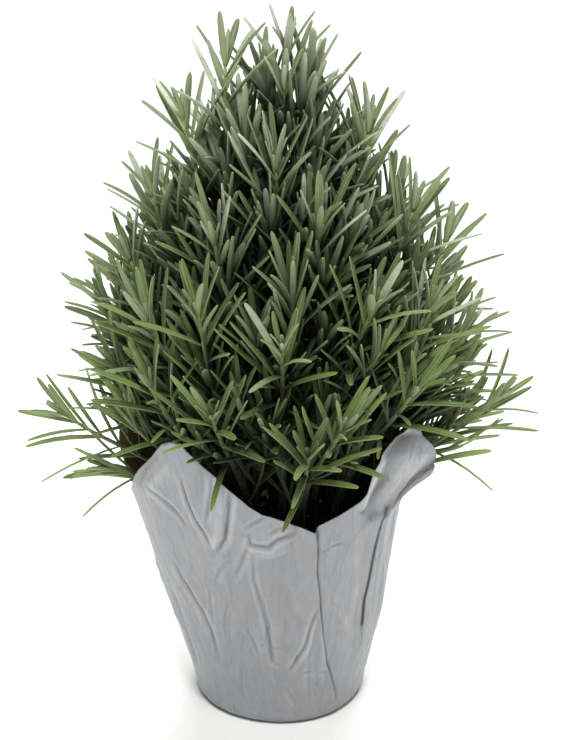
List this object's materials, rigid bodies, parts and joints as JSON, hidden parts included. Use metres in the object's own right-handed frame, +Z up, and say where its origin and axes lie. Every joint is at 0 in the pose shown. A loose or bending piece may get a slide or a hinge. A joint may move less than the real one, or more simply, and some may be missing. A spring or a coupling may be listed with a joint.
{
  "type": "potted lavender",
  "caption": "Young lavender without flowers, a pyramid of leafy stems in dark soil, in a round nursery pot inside a stand-up paper wrap with pointed corners.",
  "frame": {"origin": "middle of the wrap's flat bottom, on the surface that the part stands on", "axes": "+Z up along the stems, -Y towards the front, where the skirt of the wrap dips and the longer front corners stand at both sides, and +X to the right seen from the front"},
  "size_m": [0.258, 0.2413, 0.3618],
  "materials": {
    "wrap_paper": "satin",
    "black_plastic": "matte",
    "potting_soil": "matte",
    "lavender_leaf": "matte"
  },
  "bodies": {
    "root": {"paper_wrap": "wrap_paper", "nursery_pot": "black_plastic", "potting_soil": "potting_soil", "leafy_stem_01": "lavender_leaf", "leafy_stem_02": "lavender_leaf", "leafy_stem_03": "lavender_leaf", "leafy_stem_04": "lavender_leaf", "leafy_stem_05": "lavender_leaf", "leafy_stem_06": "lavender_leaf", "leafy_stem_07": "lavender_leaf", "leafy_stem_08": "lavender_leaf", "leafy_stem_09": "lavender_leaf", "leafy_stem_10": "lavender_leaf", "leafy_stem_11": "lavender_leaf", "leafy_stem_12": "lavender_leaf", "leafy_stem_13": "lavender_leaf", "leafy_stem_14": "lavender_leaf", "leafy_stem_15": "lavender_leaf", "leafy_stem_16": "lavender_leaf", "leafy_stem_17": "lavender_leaf", "leafy_stem_18": "lavender_leaf", "leafy_stem_19": "lavender_leaf", "leafy_stem_20": "lavender_leaf", "leafy_stem_21": "lavender_leaf", "leafy_stem_22": "lavender_leaf", "leafy_stem_23": "lavender_leaf", "leafy_stem_24": "lavender_leaf", "leafy_stem_25": "lavender_leaf", "leafy_stem_26": "lavender_leaf", "leafy_stem_27": "lavender_leaf", "leafy_stem_28": "lavender_leaf", "leafy_stem_29": "lavender_leaf", "leafy_stem_30": "lavender_leaf", "leafy_stem_31": "lavender_leaf", "leafy_stem_32": "lavender_leaf", "leafy_stem_33": "lavender_leaf", "leafy_stem_34": "lavender_leaf", "leafy_stem_35": "lavender_leaf", "leafy_stem_36": "lavender_leaf", "leafy_stem_37": "lavender_leaf", "leafy_stem_38": "lavender_leaf", "leafy_stem_39": "lavender_leaf", "leafy_stem_40": "lavender_leaf", "leafy_stem_41": "lavender_leaf", "leafy_stem_42": "lavender_leaf", "leafy_stem_43": "lavender_leaf", "leafy_stem_44": "lavender_leaf"}
  },
  "joints": []
}
